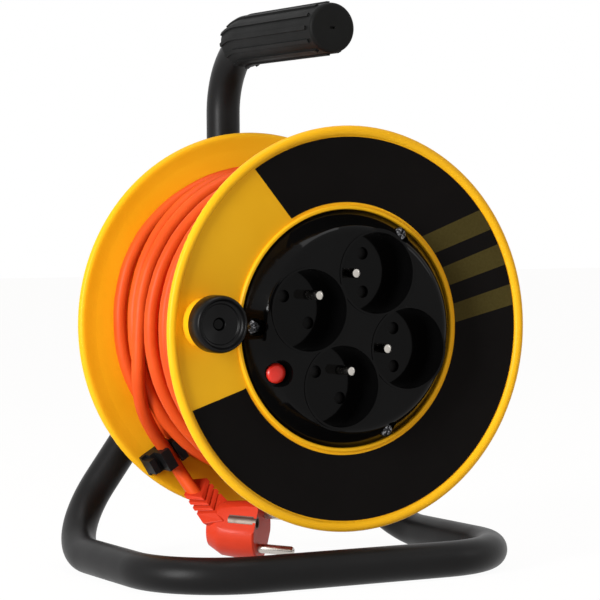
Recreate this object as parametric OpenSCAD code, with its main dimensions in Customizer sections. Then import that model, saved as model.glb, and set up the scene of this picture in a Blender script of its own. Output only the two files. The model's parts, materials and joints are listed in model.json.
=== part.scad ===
// Extension cord reel: a two-flange drum with four mains sockets, on a stand of bent steel tube.
// Millimetres. Z is up from the floor. The drum turns about a line along Y and its sockets face -Y.

/* [Stand] */
// Outside diameter of the stand tube
tube_d = 18; // [16:0.5:20]
// Wall of the stand tube
tube_wall = 1.5; // [1:0.1:2.5]
// Distance between the axes of the two side bars
base_w = 197; // [185:1:240]
// Distance from the axis of the front bar to the plane of the legs
base_depth = 144; // [140:1:180]
// Bend radius of the two front corners
front_bend_r = 46; // [36:1:60]
// Bend radius where the side bars turn up into the legs
rear_bend_r = 41; // [34:1:50]
// Gap between the floor and the flanges
ground_gap = 26; // [25:1:50]
// Height above the axle where the axes of the two legs would meet
leg_apex = 17; // [15:1:20]
// Gap between the flanges and the grip, for the hand
hand_gap = 35.5; // [30:0.5:70]
// Bend radius between the upright and the handle
handle_bend_r = 38; // [32:1:44]

/* [Grip] */
// Length of the grip's straight run, from its front face to the bend
grip_len = 85.5; // [75:0.5:110]
// Diameter of the grip between its ribs
grip_d = 25.2; // [23.5:0.1:30]
// Height of a grip rib
rib_h = 0.9; // [0.4:0.1:2]
// Width of a grip rib
rib_w = 2; // [1:0.1:3]
// Number of grip ribs
rib_count = 12; // [6:1:18]
// How far the grip follows the tube round its bend
grip_bend = 22; // [10:1:40]

/* [Flanges] */
// Diameter of both flanges
flange_d = 200; // [190:1:204]
// Depth of the drum, from the front rim to the rear rim
drum_depth = 112; // [104:1:125]
// Thickness of a flange plate
flange_t = 2.6; // [2:0.1:4]
// Diameter of the round bead along each rim
bead_d = 5; // [4:0.1:7]
// How deep the front flange sinks from its rim to the opening
dish_depth = 7.2; // [6:0.1:9]
// Width of the raised lip round the opening
lip_w = 2; // [1.5:0.1:3]
// Gap between the opening and the printed label
label_gap = 3.5; // [3:0.5:8]
// Gap between the printed label and the flange's edge
label_edge = 5.5; // [5.5:0.5:15]

/* [Drum] */
// How far the barrel's inside stands back from the edge of the opening
barrel_step = 5; // [4:0.5:7]
// Wall of the winding barrel
barrel_wall = 3; // [2:0.1:3.5]
// Diameter of the axle journal
journal_d = 30; // [24:1:34]
// Wall of the drum's hub round the journal
hub_wall = 4; // [3:0.5:8]
// Length of the drum's hub
hub_len = 18.7; // [14:0.1:30]

/* [Sockets] */
// Diameter of a socket recess
socket_d = 40; // [39:0.1:40.4]
// Depth of a socket recess
socket_depth = 15; // [13:0.1:16]
// Thinnest wall between neighbouring recesses
socket_web = 1.4; // [1.2:0.1:3]
// Distance from the recesses to the edge of the panel
panel_margin = 9.5; // [9:0.1:12]
// How far the panel face stands in front of the rim
panel_rise = 6; // [4:0.5:8]
// Wall of the socket panel
panel_wall = 2.5; // [2:0.1:3]
// Distance between the two contacts of a mains socket or plug
contact_pitch = 19; // [19:0.1:19.2]
// Distance from a socket's centre to its earth pin
earth_offset = 10; // [10:0.1:10.2]
// Diameter of the pins
pin_d = 4.8; // [4.7:0.05:4.9]

/* [Crank and button] */
// Distance from the drum axle to the crank knob
crank_r = 79.8; // [78:0.1:80]
// Direction of the crank knob from the drum axle
crank_angle = 176.5; // [150:0.5:185]
// Diameter of the crank knob
knob_d = 28.4; // [24:0.1:30]
// Length of the crank knob
knob_len = 10.2; // [9:0.1:16]
// How far the knob's boss stands in front of the rim
boss_rise = 6; // [4:0.5:8]
// Diameter of the cut-out's reset button
button_d = 9.8; // [8:0.1:10.4]
// Travel of the reset button
button_travel = 1.5; // [1:0.1:1.5]

/* [Cord and plug] */
// Diameter of the cord
cord_d = 7; // [6.6:0.1:7.4]
// Number of turns of the outer layer of cord
cord_turns = 7; // [5:1:8]
// Height of the layers of cord that lie under the outer one
inner_layers = 9.5; // [8.5:0.1:10]
// Length of the plug's pins
plug_pin_len = 19; // [18.5:0.1:19.5]
// Diameter of the plug's body
plug_d = 30; // [29:0.5:31]
// Width of the plug's body across its two flats
plug_flats = 26; // [25:0.5:28]
// Length of the plug's body
plug_len = 27; // [24:0.5:28]

/* [Hidden] */

$fn = 96;
snug = 0.05;          // radial clearance of pieces that are fixed in each other
run = 0.05;           // radial clearance of a turning fit
slide = 0.1;          // radial clearance of the button's sliding fit
gap = 0.3;            // clearance between faces that pass each other
drop_in = 0.2;        // clearance round pieces that drop into a seat
eps = 0.5;            // how far a cutter runs past a face

// ---- frames and small helpers ----
// The drum frame has its origin on the axle, in the plane of the front rim, with Y going into the drum.

socket_ring_r = (socket_d + socket_web) / sqrt(2);
panel_r = socket_ring_r + socket_d / 2 + panel_margin;
opening_r = panel_r + drop_in;
barrel_in_r = opening_r + barrel_step;
barrel_d = 2 * (barrel_in_r + barrel_wall);

axle_h = flange_d / 2 + ground_gap;
handle_rise = flange_d / 2 + hand_gap + grip_d / 2 + rib_h;
tube_r = tube_d / 2;
hub_proud = 1;                                   // how far the hub stands behind the rear rim
thrust_t = 2.7;                                  // thickness of the carrier's thrust disc
carrier_wall = 18;                               // depth of the carrier in front of the tubes
upright_y = drum_depth + hub_proud + gap + thrust_t + carrier_wall + tube_r;
clamp_wall = 3.3;
carrier_back = upright_y + tube_r + clamp_wall;
knob_front = -boss_rise - gap - knob_len;
y_mid = (knob_front + carrier_back) / 2;

module on_axle() {
    translate([0, -y_mid, axle_h])
        children();
}

// A point at distance r from the axle, in the direction a, seen from the front
function polar(r, a) = [r * cos(a), r * sin(a)];

module at(p) {
    translate([p[0], 0, p[1]])
        children();
}

// A flat outline in X and Z, thick from y0 to y1
module plate(y0, y1) {
    translate([0, y1, 0])
        rotate([90, 0, 0])
            linear_extrude(y1 - y0)
                children();
}

module rod(r, y0, y1) {
    translate([0, y1, 0])
        rotate([90, 0, 0])
            cylinder(r = r, h = y1 - y0);
}

module tube(r_out, r_in, y0, y1) {
    plate(y0, y1)
        ring_2d(r_out, r_in);
}

module ring_2d(r_out, r_in) {
    difference() {
        circle(r = r_out);
        circle(r = r_in);
    }
}

// A profile of [radius, y] points turned about the Y axis
module turned(profile) {
    rotate([90, 0, 0])
        rotate_extrude()
            polygon([for (p = profile) [p[0], -p[1]]]);
}

function arc(c, r, a0, a1, steps) =
    [for (i = [0 : steps]) [c[0] + r * cos(a0 + (a1 - a0) * i / steps),
                            c[1] + r * sin(a0 + (a1 - a0) * i / steps)]];

// ---- stand ----

bar_z = tube_r - axle_h;                         // axis of the base bars
leg_tilt = atan((base_w / 2) / (leg_apex - bar_z));
leg_top_z = -4;                                  // where the legs end inside the carrier
upright_end_z = 13;                              // where the upright ends inside the carrier
handle_y = upright_y - handle_bend_r;            // start of the handle's bend
handle_z = handle_rise - handle_bend_r;
grip_front = handle_y - grip_len;
grip_cap = 4;                                    // solid front end of the grip
function leg_x(z) = (leg_apex - z) * tan(leg_tilt);

module tube_ring() {
    ring_2d(tube_r, tube_r - tube_wall);
}

// A bend in the YZ plane about the origin; angles go from +Y towards +Z
module bend_yz(r, from, sweep) {
    rotate([90, 0, 90])
        rotate([0, 0, from])
            rotate_extrude(angle = sweep)
                translate([r, 0])
                    children();
}

module upright_tube() {
    color("#1b1b1d")
    on_axle() {
        translate([0, 0, handle_rise])
            plate(grip_front + grip_cap, handle_y)
                tube_ring();
        translate([0, handle_y, handle_z])
            bend_yz(handle_bend_r, 0, 90)
                tube_ring();
        translate([0, upright_y, upright_end_z])
            linear_extrude(handle_z - upright_end_z)
                tube_ring();
    }
}

// One leg with its rear corner, in a frame whose Z runs up the leg from the corner
module leg_and_corner() {
    leg_len = (leg_top_z - bar_z) / cos(leg_tilt);
    translate([0, 0, rear_bend_r])
        linear_extrude(leg_len - rear_bend_r)
            tube_ring();
    translate([0, -rear_bend_r, rear_bend_r])
        bend_yz(rear_bend_r, -90, 90)
            tube_ring();
}

module base_half() {
    front_y = upright_y - base_depth;
    translate([-base_w / 2, upright_y, bar_z])
        rotate([0, leg_tilt, 0])
            leg_and_corner();
    translate([-base_w / 2, 0, bar_z])
        plate(front_y + front_bend_r, upright_y - rear_bend_r)
            tube_ring();
    translate([-base_w / 2 + front_bend_r, front_y + front_bend_r, bar_z])
        rotate([0, 0, 180])
            rotate_extrude(angle = 90)
                translate([front_bend_r, 0])
                    tube_ring();
}

module base_tube() {
    front_y = upright_y - base_depth;
    bar_len = base_w - 2 * front_bend_r;
    color("#1b1b1d")
    on_axle() {
        base_half();
        mirror([1, 0, 0])
            base_half();
        translate([-bar_len / 2, front_y, bar_z])
            rotate([0, 90, 0])
                linear_extrude(bar_len)
                    tube_ring();
    }
}

module grip_section() {
    difference() {
        union() {
            circle(d = grip_d);
            for (i = [0 : rib_count - 1])
                rotate(i * 360 / rib_count)
                    translate([grip_d / 2 - 1, -rib_w / 2])
                        square([1 + rib_h, rib_w]);
        }
        circle(r = tube_r + snug);
    }
}

// Rubber sleeve with a domed front end, following the tube round its bend
module handle_grip() {
    edge_r = 2;
    rib_start = 5;
    dimple = [3, 1.6, 1.2];
    cap_profile = concat(
        [[0, grip_front + 0.4], [grip_d / 2 - 4 * edge_r, grip_front]],
        arc([grip_d / 2 - edge_r, grip_front + edge_r], edge_r, -90, 0, 6),
        [[grip_d / 2, grip_front + rib_start + 1], [0, grip_front + rib_start + 1]]);
    color("#202022")
    on_axle() {
        difference() {
            translate([0, 0, handle_rise])
                turned(cap_profile);
            translate([0, 0, handle_rise])
                rod(tube_r + snug, grip_front + grip_cap, grip_front + rib_start + 1 + eps);
            translate([-dimple[0] / 2, grip_front - eps, handle_rise - dimple[2] / 2])
                cube([dimple[0], eps + dimple[1], dimple[2]]);
        }
        translate([0, 0, handle_rise])
            plate(grip_front + rib_start, handle_y)
                grip_section();
        translate([0, handle_y, handle_z])
            bend_yz(handle_bend_r, 90 - grip_bend, grip_bend)
                grip_section();
    }
}

// ---- axle carrier: two moulded halves clamped round the tube ends ----

arm_wall = 3;
carrier_top = 46;
arm_end_z = -31;
hub_back = drum_depth + hub_proud;
thrust_y = hub_back + gap;
carrier_front = thrust_y + thrust_t;
journal_front = hub_back - hub_len - gap;
bolt_r = 4;
carrier_screw_r = 2;
carrier_screw_head_r = 3.6;
carrier_screw_head_h = 2.6;
nut_pocket = 7.5;
carrier_screw_spots = [[-15, 28], [15, 28], [-12, -27], [12, -27]];

module carrier_outline() {
    half_top = tube_r + 12;
    side = tube_r + arm_wall;
    arm = [leg_x(arm_end_z), arm_end_z];
    out = [arm[0] + side * cos(leg_tilt), arm[1] + side * sin(leg_tilt)];
    in = [arm[0] - side * cos(leg_tilt), arm[1] - side * sin(leg_tilt)];
    right = [[half_top - 4, carrier_top], [half_top, carrier_top - 4], [half_top, 12], out, in];
    left = [for (i = [len(right) - 1 : -1 : 0]) [-right[i][0], right[i][1]]];
    polygon(concat(right, left));
}

// Space of the three tube ends, a little larger than the tubes
module tube_ends() {
    r = tube_r + snug;
    leg_end = (leg_top_z - bar_z) / cos(leg_tilt);
    reach = 60;
    translate([0, upright_y, upright_end_z])
        cylinder(r = r, h = reach);
    for (side = [-1, 1])
        translate([side * base_w / 2, upright_y, bar_z])
            rotate([0, -side * leg_tilt, 0])
                translate([0, 0, leg_end - reach])
                    cylinder(r = r, h = reach);
}

// Front half, with the thrust disc and the journal that the drum turns on
module axle_carrier() {
    thrust_r = 24;
    color("#232325")
    on_axle()
        difference() {
            union() {
                plate(carrier_front, upright_y)
                    carrier_outline();
                rod(thrust_r, thrust_y, carrier_front + eps);
                rod(journal_d / 2, journal_front, carrier_front + eps);
            }
            tube_ends();
            rod(bolt_r + snug, journal_front - eps, upright_y + eps);
            for (p = carrier_screw_spots)
                at(p)
                    rod(carrier_screw_r + snug, carrier_front + 4, upright_y + eps);
        }
}

module carrier_clamp() {
    color("#232325")
    on_axle()
        difference() {
            plate(upright_y, carrier_back)
                carrier_outline();
            tube_ends();
            rod(bolt_r + snug, upright_y - eps, carrier_back + eps);
            rod(nut_pocket, carrier_back - 7, carrier_back + eps);
            for (p = carrier_screw_spots)
                at(p) {
                    rod(carrier_screw_r + snug, upright_y - eps, carrier_back + eps);
                    rod(carrier_screw_head_r + snug,
                        carrier_back - carrier_screw_head_h, carrier_back + eps);
                }
        }
}

// A round-headed screw along Y with a cross recess; its head is at the larger y
module rear_screw(r, head_r, head_h, y0, y1) {
    slot = 0.8;
    difference() {
        union() {
            rod(r, y0, y1 - head_h);
            rod(head_r, y1 - head_h, y1);
        }
        for (turn = [0, 90])
            rotate([0, turn, 0])
                translate([-head_r * 0.6, y1 - 1.2, -slot / 2])
                    cube([head_r * 1.2, 1.2 + eps, slot]);
    }
}

module carrier_screws() {
    color("silver")
    on_axle()
        for (p = carrier_screw_spots)
            at(p)
                rear_screw(carrier_screw_r, carrier_screw_head_r, carrier_screw_head_h,
                           carrier_front + 5, carrier_back);
}

washer_t = 2;

module axle_bolt() {
    head_h = 5.3;
    head_r = 7.5;
    color("silver")
    on_axle() {
        rod(bolt_r, journal_front - washer_t - 0.1, carrier_back - 0.5);
        plate(journal_front - washer_t - head_h, journal_front - washer_t)
            circle(r = head_r, $fn = 6);
    }
}

module axle_washer() {
    color("silver")
    on_axle()
        tube(journal_d / 2 + 4, bolt_r + snug, journal_front - washer_t, journal_front);
}

module axle_nut() {
    nut_r = 7.2;
    color("silver")
    on_axle()
        plate(carrier_back - 7, carrier_back - 1)
            difference() {
                circle(r = nut_r, $fn = 6);
                circle(r = bolt_r + snug);
            }
}

// ---- flanges and barrel ----

rim_r = (flange_d - bead_d) / 2;                 // circle of the bead's centre
lip_front = dish_depth - 1.6;
land_y = dish_depth + flange_t;                  // back of the front flange, where the barrel seats
land_r = barrel_d / 2 + 15;
rear_inner = drum_depth - bead_d / 2 - 2;        // inner face of the rear flange
rear_outer = rear_inner + flange_t;
spigot_r = barrel_in_r - drop_in;
spigot_len = 4;
lug_back = land_y + 2.8;
panel_seat = land_y - drop_in;
lug_spots = [59, -69, 177.5];                     // directions of the panel's screws
lug_r = opening_r - 5;
panel_screw_r = 1.8;
flange_screw_spots = [90, 210, 330];
flange_screw_ring = barrel_in_r - 9;
flange_screw_r = 1.9;
boss_r = 12.3;
crank_pin_r = 2.95;
face_edge_y = 2.2;                               // front face next to the bead
face_edge_r = rim_r - bead_d / 2 - 0.5;

// Depth of the dished front face at the radius r
function face_y(r) = dish_depth + (face_edge_y - dish_depth) * (r - opening_r - lip_w)
                     / (face_edge_r - opening_r - lip_w);

module bead(y) {
    rotate([90, 0, 0])
        rotate_extrude()
            translate([rim_r, -y])
                circle(d = bead_d);
}

module front_flange() {
    lip_r = opening_r + lip_w;
    plate_r = rim_r - 1;
    profile = [
        [opening_r, lip_front + 0.4], [opening_r + 0.4, lip_front], [lip_r - 0.6, lip_front],
        [lip_r, lip_front + 0.6], [lip_r, face_y(lip_r)], [plate_r, face_y(plate_r)],
        [plate_r, face_y(plate_r) + flange_t], [land_r, land_y], [spigot_r, land_y],
        [spigot_r, lug_back], [opening_r, lug_back]];
    color("#f0a818")
    on_axle()
        difference() {
            union() {
                turned(profile);
                bead(bead_d / 2);
                at(polar(crank_r, crank_angle))
                    turned([[0, -boss_rise], [boss_r - 1, -boss_rise], [boss_r, 1 - boss_rise],
                            [boss_r, face_y(crank_r) + 2], [0, face_y(crank_r) + 2]]);
                intersection() {
                    for (a = lug_spots)
                        at(polar(lug_r, a))
                            rod(6, panel_seat, lug_back);
                    rod(opening_r + 1, panel_seat, lug_back);
                }
            }
            for (a = lug_spots)
                at(polar(lug_r, a))
                    rod(panel_screw_r + snug, panel_seat - eps, lug_back + eps);
            for (i = [0 : 3])
                at(socket_c(i))
                    rod(socket_d / 2 + cup_wall + gap, panel_seat - eps, lug_back + eps);
            at(polar(crank_r, crank_angle))
                rod(crank_pin_r + snug, -boss_rise - eps, land_y + 2);
        }
}

// Label on the dished face, cut away on the side of the crank
module front_label() {
    label_t = 0.25;
    r0 = opening_r + label_gap;
    r1 = flange_d / 2 - label_edge;
    cut = [[-30, 53.8], [-58, 84], [-120, 84], [-120, -46.6], [-57.7, -28], [0, 0]];
    color("#141414")
    on_axle()
        difference() {
            turned([[r0, face_y(r0)], [r0, face_y(r0) - label_t],
                    [r1, face_y(r1) - label_t], [r1, face_y(r1)]]);
            plate(-eps, dish_depth + eps)
                polygon(cut);
        }
}

// A screw boss on the inside of the barrel, with its web
module barrel_boss(r, a, y0, y1, web_y1) {
    at(polar(r, a))
        rod(4.5, y0, y1);
    rotate([0, -a, 0])
        translate([r + 3, y0, -1.5])
            cube([barrel_in_r - 2 - r, web_y1 - y0, 3]);
}

grommet_y = rear_inner - 9.5;
grommet_angle = 30;
grommet_r = cord_d / 2 + 2;

module drum_barrel() {
    color("#e39b14")
    on_axle()
        difference() {
            union() {
                tube(barrel_d / 2, barrel_in_r, land_y, rear_inner);
                for (a = lug_spots)
                    barrel_boss(lug_r, a, lug_back, lug_back + 22, lug_back + 22);
                for (a = flange_screw_spots)
                    barrel_boss(flange_screw_ring, a,
                                rear_inner - 20, rear_inner, rear_inner - spigot_len - gap);
            }
            for (a = lug_spots)
                at(polar(lug_r, a))
                    rod(panel_screw_r + snug, lug_back - eps, lug_back + 16);
            for (a = flange_screw_spots)
                at(polar(flange_screw_ring, a))
                    rod(flange_screw_r + snug, rear_inner - 16, rear_inner + eps);
            translate([0, grommet_y, 0])
                rotate([0, 90 - grommet_angle, 0])
                    translate([0, 0, barrel_in_r - 5])
                        cylinder(r = grommet_r + snug, h = 12);
        }
}

module rear_flange() {
    hub_r = journal_d / 2 + hub_wall;
    rib_t = 2;
    rib_out = rim_r - 4;
    rib_back = drum_depth - 0.4;
    color("#f0a818")
    on_axle()
        difference() {
            union() {
                rod(rim_r - 1, rear_inner, rear_outer);
                bead(drum_depth - bead_d / 2);
                rod(hub_r, hub_back - hub_len, hub_back);
                tube(spigot_r, spigot_r - 2.5, rear_inner - spigot_len, rear_inner + 1);
                for (i = [0 : 11])
                    rotate([0, 15 + i * 30, 0])
                        translate([hub_r - 1, rear_outer - 1, -rib_t / 2])
                            cube([rib_out - hub_r, rib_back - rear_outer + 1, rib_t]);
                tube(rib_out, rib_out - rib_t, rear_outer - 1, rib_back);
                tube(flange_screw_ring + 7, flange_screw_ring + 5, rear_outer - 1, rib_back);
            }
            rod(journal_d / 2 + run, hub_back - hub_len - eps, hub_back + eps);
            for (a = flange_screw_spots)
                at(polar(flange_screw_ring, a)) {
                    rod(flange_screw_r + 0.15, rear_inner - 5, rear_outer + eps);
                    rod(5, rear_inner - 5, rear_inner);
                }
        }
}

module flange_screws() {
    color("silver")
    on_axle()
        for (a = flange_screw_spots)
            at(polar(flange_screw_ring, a))
                rear_screw(flange_screw_r, 3.8, 1.8, rear_inner - 14, rear_outer + 1.8);
}

// ---- socket panel ----

panel_face = -panel_rise;
panel_edge = panel_seat - 2.1;                   // where the shoulder meets the rim
shoulder_round = 6;
shoulder_r = panel_r - 12.3;                     // outer edge of the flat face
recess_floor = panel_face + socket_depth;
cup_wall = 2;
cup_back = recess_floor + panel_wall;
socket_angles = [160, 70, 340, 250];
pin_angles = [45, 180, 180, 45];                 // direction from a socket's centre to its earth pin
well_spot = [-43.7, -20.1];                      // reset button
well_floor = 0;
post_r = 7;
hole_r = pin_d / 2 + 0.7;                        // contact hole in a recess floor
root_r = pin_d / 2 - 0.25;                       // thinner root of a pin, where it is held
root_gap = 0.6;                                  // how far the root shows in front of its wall
shutter_rail = 2.5;
sleeve_front = cup_back + shutter_rail;
strap_y = cup_back + 8.5;
strap_t = 0.8;
live_y = strap_y + 4;
neutral_y = live_y + 4;
cover_floor = neutral_y + 14;
cover_wall = 1.8;
cover_back = cover_floor + 2;
post_back = cover_floor - 1;
post_tip_r = post_r - 2;
well_r = button_d / 2 + 1.7;
well_wall = 1.6;
well_back = well_floor + 2.5;
neck_r = button_d / 2 + 0.6;

function socket_c(i) = polar(socket_ring_r, socket_angles[i]);
function earth_c(i) = socket_c(i) + polar(earth_offset, pin_angles[i]);
function contact_c(i, s) = socket_c(i) + polar(s * contact_pitch / 2, pin_angles[i] + 90);

// Section of the panel's front at a depth behind its surface
function panel_front(depth) =
    let (slope = atan2(panel_edge - (panel_face + shoulder_round * (1 - sin(34))),
                       panel_r - (shoulder_r + shoulder_round * cos(34))),
         turn = 90 - slope)
    concat([[0, panel_face + depth]],
           arc([shoulder_r, panel_face + shoulder_round], shoulder_round - depth, -90, -turn, 8));

module panel_skin(depth, back, edge_r) {
    front = panel_front(depth);
    turned(concat(front, [[edge_r, panel_edge + depth * 0.2], [edge_r, back], [0, back]]));
}

module socket_panel() {
    lip_h = 0.4;
    rail = [2, shutter_rail];
    color("#101012")
    on_axle()
        difference() {
            union() {
                difference() {
                    panel_skin(0, panel_seat, panel_r);
                    panel_skin(panel_wall, panel_seat + eps, panel_r - 2.6);
                }
                for (i = [0 : 3])
                    at(socket_c(i)) {
                        rod(socket_d / 2 + cup_wall, panel_face + 1, cup_back);
                        rod(socket_d / 2 + 1, panel_face - lip_h, panel_face + 1.5);
                        rotate([0, -pin_angles[i], 0])
                            for (side = [-1, 1])
                                translate([-12, cup_back - 0.5, side * 14.6 - rail[0] / 2])
                                    cube([18, 0.5 + rail[1], rail[0]]);
                    }
                intersection() {
                    union() {
                        for (a = lug_spots)
                            at(polar(lug_r, a))
                                rod(5.5, panel_face, panel_seat);
                        at(well_spot)
                            rod(well_r + well_wall, panel_face, well_back);
                    }
                    panel_skin(0, panel_seat, panel_r);
                }
                rod(post_r, panel_face + 1, strap_y);
                rod(post_tip_r, panel_face + 1, post_back);
            }
            for (i = [0 : 3]) {
                at(socket_c(i))
                    rod(socket_d / 2, panel_face - 2, recess_floor);
                at(earth_c(i))
                    rod(root_r + snug, recess_floor - eps, cup_back + eps);
                for (s = [-1, 1])
                    at(contact_c(i, s))
                        rod(hole_r, recess_floor - eps, cup_back + eps);
            }
            for (a = lug_spots)
                at(polar(lug_r, a)) {
                    rod(panel_screw_r + 0.15, panel_face - eps, panel_seat + eps);
                    rod(4.2, panel_face - eps, 3);
                }
            at(well_spot) {
                rod(well_r, panel_face - eps, well_floor);
                rod(button_d / 2 + slide, panel_face - eps, well_back + eps);
                rod(neck_r + 0.1, well_back, panel_seat + eps);
            }
            rod(1.5, post_back - 12, post_back + eps);
        }
}

module panel_screws() {
    head_r = 3.4;
    color("silver")
    on_axle()
        for (a = lug_spots)
            at(polar(lug_r, a))
                difference() {
                    union() {
                        rod(panel_screw_r, 3, lug_back + 14);
                        turned([[0, 0.8], [head_r - 1, 1], [head_r, 2], [head_r, 3], [0, 3]]);
                    }
                    for (turn = [20, 110])
                        rotate([0, turn, 0])
                            translate([-2.2, 0, -0.4])
                                cube([4.4, 2, 0.8]);
                }
}

tail_r = pin_d / 2 - 0.8;

// Earth pins with a thinner root, and a shouldered tail that rivets into the earth strap
module earth_pins() {
    r = pin_d / 2;
    tip = panel_face + 2.5;
    color("silver")
    on_axle()
        for (i = [0 : 3])
            at(earth_c(i))
                turned([[0, tip], [r - 1.2, tip + 0.1], [r - 0.35, tip + 0.6], [r, tip + 1.5],
                        [r, recess_floor - root_gap], [root_r, recess_floor - root_gap],
                        [root_r, strap_y], [tail_r, strap_y], [tail_r, strap_y + strap_t + 0.6],
                        [0, strap_y + strap_t + 0.6]]);
}

// A strip of the given width from the point a to the point b
module strip_2d(a, b, w) {
    d = b - a;
    translate(a)
        rotate(atan2(d[1], d[0]))
            translate([0, -w / 2])
                square([norm(d), w]);
}

module earth_strap() {
    w = 5;
    color("#c8a040")
    on_axle()
        plate(strap_y, strap_y + strap_t)
            difference() {
                union() {
                    circle(r = 9);
                    for (i = [0 : 3]) {
                        strip_2d([0, 0], earth_c(i), w);
                        translate(earth_c(i))
                            circle(r = 3.6);
                    }
                }
                circle(r = post_tip_r + snug);
                for (i = [0 : 3])
                    translate(earth_c(i))
                        circle(r = tail_r + snug);
            }
}

sleeve_r = pin_d / 2 + 1;

// A bus bar through four contacts, each with a sleeve that takes a plug's pin
module busbar(points, y) {
    w = 5;
    color("#c8a040")
    on_axle()
        difference() {
            union() {
                plate(y, y + strap_t)
                    for (i = [0 : len(points) - 2])
                        strip_2d(points[i], points[i + 1], w);
                for (p = points)
                    at(p)
                        rod(sleeve_r, sleeve_front, y + strap_t);
            }
            for (p = points)
                at(p)
                    rod(pin_d / 2 + snug, sleeve_front - eps, y);
        }
}

live_points = [contact_c(0, 1), contact_c(1, -1), contact_c(2, -1), contact_c(3, -1)];
neutral_points = [contact_c(0, -1), contact_c(1, 1), contact_c(2, 1), contact_c(3, 1)];

module live_busbar() {
    busbar(live_points, live_y);
}

module neutral_busbar() {
    busbar(neutral_points, neutral_y);
}

// Sliding bar that closes both contact holes of one socket
module shutter(i) {
    bar = [7, 1.3, 26.8];
    color("#1c1c1e")
    on_axle()
        at(socket_c(i))
            rotate([0, -pin_angles[i], 0])
                translate([-bar[0] / 2, cup_back + gap, -bar[2] / 2])
                    cube(bar);
}

// Insulating cover behind the contacts, with posts that back the bus bars
module socket_rear_cover() {
    r = panel_r - 0.8;
    wall = cover_wall;
    floor_y = cover_floor;
    back = cover_back;
    scallop = 6.8;
    color("#1a1a1c")
    on_axle()
        difference() {
            union() {
                difference() {
                    rod(r, panel_seat, back);
                    rod(r - wall, panel_seat - eps, floor_y);
                }
                intersection() {
                    rod(r, panel_seat, back);
                    for (a = lug_spots)
                        at(polar(lug_r, a))
                            rod(scallop + wall, panel_seat, back);
                }
                for (p = live_points)
                    at(p)
                        rod(sleeve_r, live_y + strap_t, floor_y + 1);
                for (p = neutral_points)
                    at(p)
                        rod(sleeve_r, neutral_y + strap_t, floor_y + 1);
                rod(post_r + 1.5, strap_y + strap_t, floor_y + 1);
            }
            rod(post_tip_r + snug, strap_y, post_back);
            rod(1.7, post_back - eps, back + eps);
            for (a = lug_spots)
                at(polar(lug_r, a))
                    rod(scallop, panel_seat - eps, back + eps);
            for (i = [0 : 3])
                at(socket_c(i))
                    rod(socket_d / 2 + cup_wall + gap, panel_seat - eps, cup_back + shutter_rail + gap);
            at(polar(gland_r, grommet_angle))
                rod(cord_r + snug, floor_y - eps, back + eps);
        }
}

module cover_screw() {
    color("silver")
    on_axle()
        rear_screw(1.45, 3.4, 2, post_back - 10, cover_back + 2);
}

stem_r = 1.8;
stem_back = panel_seat - 0.6;
cutout_back = cover_floor - 8;

// Thermal cut-out behind its reset button
module cutout_body() {
    neck_back = panel_seat + 0.4;
    color("#2a2a2c")
    on_axle()
        at(well_spot)
            difference() {
                union() {
                    rod(neck_r, well_back, neck_back);
                    rod(7.5, neck_back, cutout_back);
                }
                rod(stem_r + slide, well_back - eps, stem_back + button_travel + 1);
            }
}

module cutout_terminals() {
    blade = [0.8, 7, 6.3];
    color("#c8a040")
    on_axle()
        at(well_spot)
            for (side = [-1, 1])
                translate([side * 4 - blade[0] / 2, cutout_back, -blade[2] / 2])
                    cube(blade);
}

module reset_button() {
    r = button_d / 2;
    top = well_floor - 3;
    back = well_back - drop_in - button_travel;
    color("#e02818")
    on_axle()
        at(well_spot)
            turned([[0, top], [r - 2, top + 0.2], [r - 0.8, top + 0.7], [r, top + 1.6],
                    [r, back], [stem_r, back], [stem_r, stem_back], [0, stem_back]]);
}

// ---- crank knob ----

module crank_pin() {
    r = crank_pin_r;
    tip = knob_front + 5.2;
    bead_y = tip + 1;
    color("silver")
    on_axle()
        at(polar(crank_r, crank_angle))
            turned([[0, tip], [r - 0.6, tip], [r, tip + 0.8], [r, bead_y], [r + 0.55, bead_y + 0.3],
                    [r + 0.55, bead_y + 0.7], [r, bead_y + 1], [r, land_y - 1], [0, land_y - 1]]);
}

module crank_knob() {
    r = knob_d / 2;
    back = -boss_rise - gap;
    groove = knob_front + 6;
    bore = crank_pin_r + run;
    round_r = 1.3;
    color("#151517")
    on_axle()
        at(polar(crank_r, crank_angle))
            turned(concat(
                [[bore, back], [r - 0.5, back], [r, back - 0.5]],
                arc([r - round_r, knob_front + round_r], round_r, 0, -90, 5),
                arc([r - round_r - 1.2, knob_front + 0.8], 0.8, -90, -180, 3),
                [[r - 4.4, knob_front + 3.2], [r - 5.6, knob_front + 3.7], [5, knob_front + 3.3],
                 [3.8, knob_front + 3.3], [bore, knob_front + 4], [bore, groove],
                 [bore + 0.9, groove + 0.2], [bore + 0.9, groove + 1.6], [bore, groove + 1.8]]));
}

// ---- cord ----

cord_r = cord_d / 2;
gland_r = 36;                                    // where the cord leaves the rear cover
lead_bend = 28;
core_in_r = barrel_d / 2 + 0.2;
wind_r = barrel_d / 2 + inner_layers + cord_r;   // centre of the outer layer
loop_rings = 24;
core_out_r = wind_r * cos(180 / loop_rings) - cord_r - gap;
wind_start_bend = 12;                            // turn from the flange's face into the first loop
wind_end_y = rear_inner - 7.5;
wind_end_a = 205;                                // where the cord leaves the drum
cord_end = cord_d;                               // straight run at each end of the winding

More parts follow.
